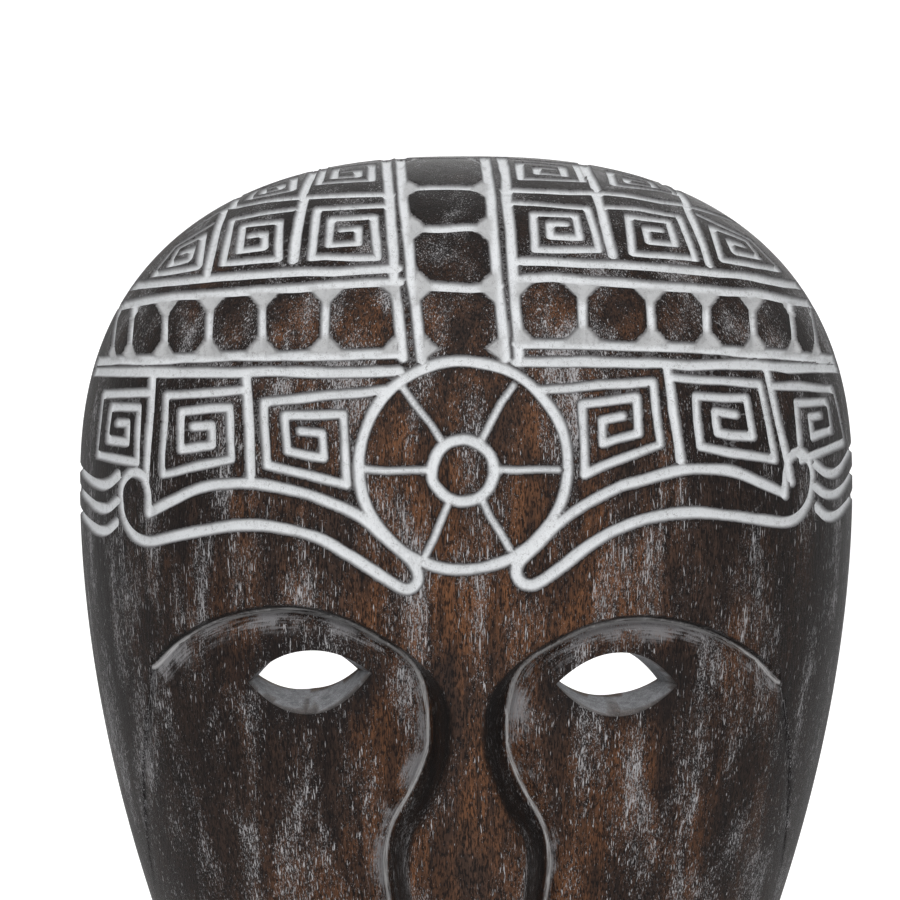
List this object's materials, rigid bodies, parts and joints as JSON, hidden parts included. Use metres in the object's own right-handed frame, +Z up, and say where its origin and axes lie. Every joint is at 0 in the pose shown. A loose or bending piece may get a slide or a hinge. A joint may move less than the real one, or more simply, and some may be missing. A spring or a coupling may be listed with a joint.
{
  "type": "carved wooden wall mask",
  "caption": "Carved wooden wall mask with a domed forehead, open almond eyes, a long nose and a hollow back, hung from D-ring straps let into its flat rim.",
  "frame": {"origin": "on the wall, at the middle of the flat back rim at the crown; the mask hangs below it", "axes": "+Z up, +Y into the wall, and the face looks along -Y; +X is the right-hand side seen from the front"},
  "size_m": [0.25, 0.1154, 0.394],
  "materials": {
    "stained_wood": "matte dark brown stain, white wash rubbed into the carving and the open grain",
    "zinc_plate": "zinc-plated steel strip",
    "ring_wire": "zinc-plated steel wire",
    "screw_steel": "zinc-plated steel with a cross recess"
  },
  "bodies": {
    "mask": {"mask_face": "stained_wood", "hanger_strap_left": "zinc_plate", "hanger_strap_right": "zinc_plate", "screw_left_upper": "screw_steel", "screw_left_lower": "screw_steel", "screw_right_upper": "screw_steel", "screw_right_lower": "screw_steel"},
    "ring_left": {"d_ring_left": "ring_wire"},
    "ring_right": {"d_ring_right": "ring_wire"}
  },
  "joints": [
    {"name": "ring_left_swing", "type": "hinge", "parent": "mask", "child": "ring_left", "pos_m": [-0.1125, -0.0026, -0.093], "axis": [1, 0, 0], "range_deg": [0, 165]},
    {"name": "ring_right_swing", "type": "hinge", "parent": "mask", "child": "ring_right", "pos_m": [0.1125, -0.0026, -0.093], "axis": [1, 0, 0], "range_deg": [0, 165]}
  ]
}
